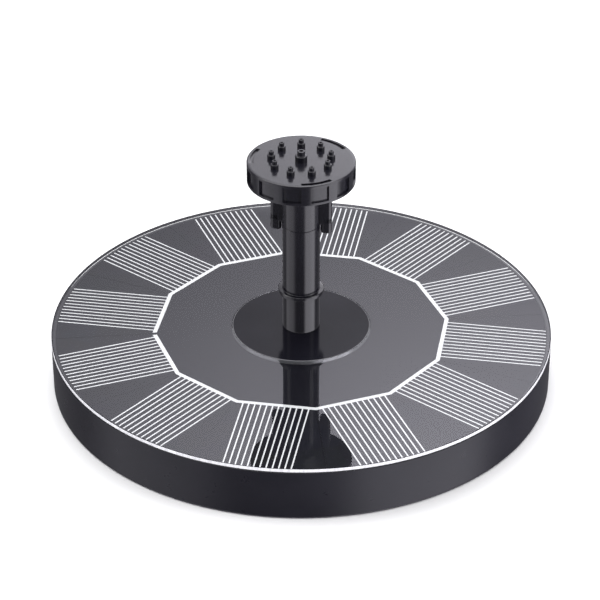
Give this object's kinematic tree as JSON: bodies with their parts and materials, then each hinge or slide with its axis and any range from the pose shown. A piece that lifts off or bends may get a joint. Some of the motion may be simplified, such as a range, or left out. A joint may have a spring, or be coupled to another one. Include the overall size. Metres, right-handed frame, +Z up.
{
  "type": "solar fountain pump",
  "caption": "Round floating solar fountain pump: flat dark disc with a radial cell pattern, a central riser tube and a round spray cap, with a small pump in its underside.",
  "frame": {"origin": "centre of the float's underside, where it rests", "axes": "+Z up along the outlet, -Y towards the viewer of the front, +X to the right"},
  "size_m": [0.16, 0.16, 0.0807],
  "materials": {
    "float_plastic": "satin",
    "base_plastic": "matte",
    "nozzle_plastic": "satin",
    "hub_plastic": "gloss",
    "clear_cover": "gloss",
    "board_black": "satin",
    "cell_black": "gloss",
    "silver_print": "satin",
    "white_foam": "matte",
    "steel_screw": "satin",
    "black_rubber": "matte",
    "pump_plastic": "satin",
    "core_steel": "satin",
    "copper_wire": "satin",
    "circuit_board": "satin",
    "component_black": "matte",
    "red_insulation": "satin",
    "black_insulation": "satin",
    "potting_resin": "gloss",
    "white_ceramic": "polished",
    "graphite": "matte",
    "white_plastic": "satin",
    "magnet_ferrite": "matte",
    "filter_foam": "matte"
  },
  "bodies": {
    "float": {"float_shell": "float_plastic", "float_base": "base_plastic", "foam_ring": "white_foam", "base_screws": "steel_screw", "backing_board": "board_black", "solar_cells": "cell_black", "cell_fingers": "silver_print", "ribbon_ring": "silver_print", "panel_cover": "clear_cover", "outlet_hub": "hub_plastic", "hub_gasket": "black_rubber", "pump_housing": "pump_plastic", "housing_screws": "steel_screw", "stator_core": "core_steel", "stator_coils": "copper_wire", "driver_board": "circuit_board", "board_components": "component_black", "hall_sensor": "component_black", "lead_positive": "red_insulation", "lead_negative": "black_insulation", "resin_cap": "potting_resin", "rotor_shaft": "white_ceramic", "shaft_bush_top": "graphite"},
    "rotor": {"impeller": "white_plastic", "rotor_magnet": "magnet_ferrite"},
    "impeller_cap": {"impeller_cover": "pump_plastic", "shaft_bush_bottom": "graphite", "cover_seal": "black_rubber"},
    "filter": {"filter_cover": "base_plastic", "filter_sponge": "filter_foam"},
    "riser": {"riser_tube": "nozzle_plastic"},
    "holder": {"nozzle_holder": "nozzle_plastic"},
    "cap": {"spray_cap": "nozzle_plastic"}
  },
  "joints": [
    {"name": "rotor_spin", "type": "hinge", "parent": "float", "child": "rotor", "pos_m": [0, 0.012, 0.01], "axis": [0, 0, 1], "continuous": true},
    {"name": "impeller_cover_twist", "type": "hinge", "parent": "float", "child": "impeller_cap", "pos_m": [0, 0.012, 0.004], "axis": [0, 0, 1], "range_deg": [0, 25]},
    {"name": "filter_cover_pull", "type": "slide", "parent": "float", "child": "filter", "axis": [0, 0, -1], "range_m": [0, 0.02]},
    {"name": "tube_pull", "type": "slide", "parent": "float", "child": "riser", "axis": [0, 0, 1], "range_m": [0, 0.014]},
    {"name": "holder_pull", "type": "slide", "parent": "riser", "child": "holder", "axis": [0, 0, 1], "range_m": [0, 0.012]},
    {"name": "cap_lift", "type": "slide", "parent": "holder", "child": "cap", "axis": [0, 0, 1], "range_m": [0, 0.012]}
  ]
}
